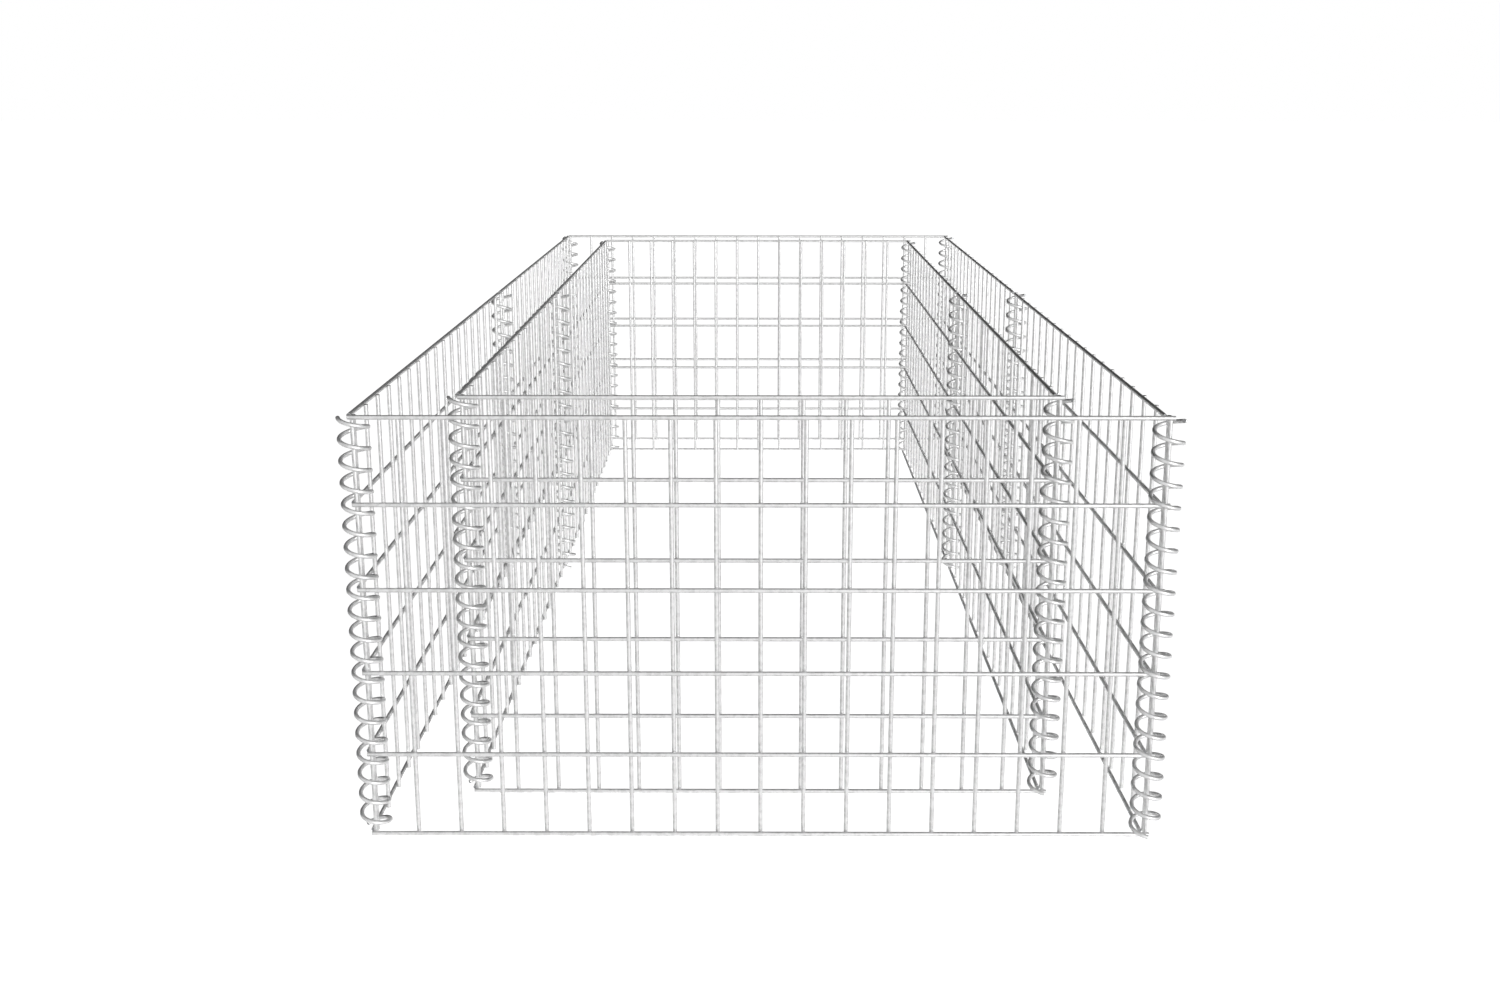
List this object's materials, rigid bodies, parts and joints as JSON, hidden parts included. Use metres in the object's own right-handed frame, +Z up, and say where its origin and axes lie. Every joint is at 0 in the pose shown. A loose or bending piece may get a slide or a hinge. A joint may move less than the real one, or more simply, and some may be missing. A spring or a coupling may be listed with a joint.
{
  "type": "gabion planter",
  "caption": "Double-walled rectangular planter of welded wire-mesh panels hinged by spiral binders; stones fill the gap between the walls.",
  "frame": {"origin": "on the ground, in the middle of the planter", "axes": "+Z up, +Y along the planter's length towards its back, X across its width"},
  "size_m": [0.934, 1.8528, 0.5071],
  "materials": {
    "mesh_wire": "satin galvanised zinc coating on welded steel wire",
    "spiral_wire": "satin galvanised zinc coating on coiled steel wire"
  },
  "bodies": {
    "front_panels": {"outer_front_panel": "mesh_wire", "inner_front_panel": "mesh_wire", "outer_front_right_spiral": "spiral_wire", "inner_front_right_spiral": "spiral_wire"},
    "outer_left_front": {"outer_left_front_panel": "mesh_wire", "outer_front_left_spiral": "spiral_wire", "outer_mid_left_spiral": "spiral_wire"},
    "outer_left_back": {"outer_left_back_panel": "mesh_wire"},
    "outer_back": {"outer_back_panel": "mesh_wire", "outer_back_left_spiral": "spiral_wire"},
    "outer_right_front": {"outer_right_front_panel": "mesh_wire", "outer_mid_right_spiral": "spiral_wire"},
    "outer_right_back": {"outer_right_back_panel": "mesh_wire", "outer_back_right_spiral": "spiral_wire"},
    "inner_left_front": {"inner_left_front_panel": "mesh_wire", "inner_front_left_spiral": "spiral_wire", "inner_mid_left_spiral": "spiral_wire"},
    "inner_left_back": {"inner_left_back_panel": "mesh_wire"},
    "inner_back": {"inner_back_panel": "mesh_wire", "inner_back_left_spiral": "spiral_wire"},
    "inner_right_front": {"inner_right_front_panel": "mesh_wire", "inner_mid_right_spiral": "spiral_wire"},
    "inner_right_back": {"inner_right_back_panel": "mesh_wire", "inner_back_right_spiral": "spiral_wire"}
  },
  "joints": [
    {"name": "outer_front_left_hinge", "type": "hinge", "parent": "front_panels", "child": "outer_left_front", "pos_m": [-0.45, -0.91166, 0.25], "axis": [0, 0, 1], "range_deg": [-22, 45]},
    {"name": "outer_mid_left_hinge", "type": "hinge", "parent": "outer_left_front", "child": "outer_left_back", "pos_m": [-0.45, 0, 0.25], "axis": [0, 0, 1], "range_deg": [-90, 44]},
    {"name": "outer_back_left_hinge", "type": "hinge", "parent": "outer_left_back", "child": "outer_back", "pos_m": [-0.45, 0.91166, 0.25], "axis": [0, 0, 1], "range_deg": [-22, 45]},
    {"name": "outer_front_right_hinge", "type": "hinge", "parent": "front_panels", "child": "outer_right_front", "pos_m": [0.45, -0.91166, 0.25], "axis": [0, 0, 1], "range_deg": [-45, 22]},
    {"name": "outer_mid_right_hinge", "type": "hinge", "parent": "outer_right_front", "child": "outer_right_back", "pos_m": [0.45, 0, 0.25], "axis": [0, 0, 1], "range_deg": [-44, 90]},
    {"name": "inner_front_left_hinge", "type": "hinge", "parent": "front_panels", "child": "inner_left_front", "pos_m": [-0.35, -0.81166, 0.25], "axis": [0, 0, 1], "range_deg": [-22, 45]},
    {"name": "inner_mid_left_hinge", "type": "hinge", "parent": "inner_left_front", "child": "inner_left_back", "pos_m": [-0.35, 0, 0.25], "axis": [0, 0, 1], "range_deg": [-90, 44]},
    {"name": "inner_back_left_hinge", "type": "hinge", "parent": "inner_left_back", "child": "inner_back", "pos_m": [-0.35, 0.81166, 0.25], "axis": [0, 0, 1], "range_deg": [-22, 45]},
    {"name": "inner_front_right_hinge", "type": "hinge", "parent": "front_panels", "child": "inner_right_front", "pos_m": [0.35, -0.81166, 0.25], "axis": [0, 0, 1], "range_deg": [-45, 22]},
    {"name": "inner_mid_right_hinge", "type": "hinge", "parent": "inner_right_front", "child": "inner_right_back", "pos_m": [0.35, 0, 0.25], "axis": [0, 0, 1], "range_deg": [-44, 90]}
  ],
  "couplings": [
    {"joint": "outer_mid_left_hinge", "follows": "outer_front_left_hinge", "ratio": -2},
    {"joint": "outer_back_left_hinge", "follows": "outer_front_left_hinge", "ratio": 1},
    {"joint": "outer_front_right_hinge", "follows": "outer_front_left_hinge", "ratio": -1},
    {"joint": "outer_mid_right_hinge", "follows": "outer_front_left_hinge", "ratio": 2},
    {"joint": "inner_front_left_hinge", "follows": "outer_front_left_hinge", "ratio": 1},
    {"joint": "inner_mid_left_hinge", "follows": "outer_front_left_hinge", "ratio": -2},
    {"joint": "inner_back_left_hinge", "follows": "outer_front_left_hinge", "ratio": 1},
    {"joint": "inner_front_right_hinge", "follows": "outer_front_left_hinge", "ratio": -1},
    {"joint": "inner_mid_right_hinge", "follows": "outer_front_left_hinge", "ratio": 2}
  ]
}
